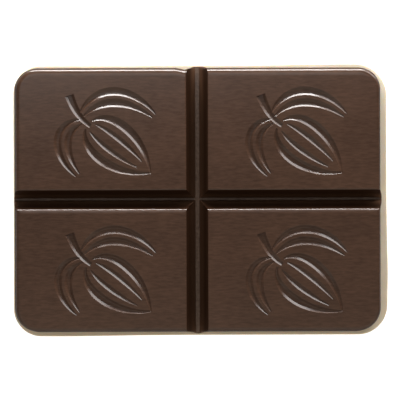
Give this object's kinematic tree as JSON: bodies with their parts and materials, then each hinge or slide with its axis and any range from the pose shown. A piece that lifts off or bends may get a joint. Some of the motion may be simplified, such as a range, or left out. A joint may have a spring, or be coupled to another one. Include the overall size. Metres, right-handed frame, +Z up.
{
  "type": "chocolate bar",
  "caption": "Rectangular chocolate bar of dark moulded tablets with break grooves and an engraved cocoa pod, cast on a slightly wider cream-coloured base.",
  "frame": {"origin": "centre of the bar's flat underside", "axes": "+X along the length, +Y along the width, +Z up through the patterned face"},
  "size_m": [0.0682, 0.0496, 0.0086],
  "materials": {
    "cream_chocolate": "cream-coloured chocolate with a satin sheen",
    "dark_chocolate": "dark chocolate with the soft gloss of a mould"
  },
  "bodies": {
    "root": {"cream_base": "cream_chocolate", "dark_tablets": "dark_chocolate"}
  },
  "joints": []
}
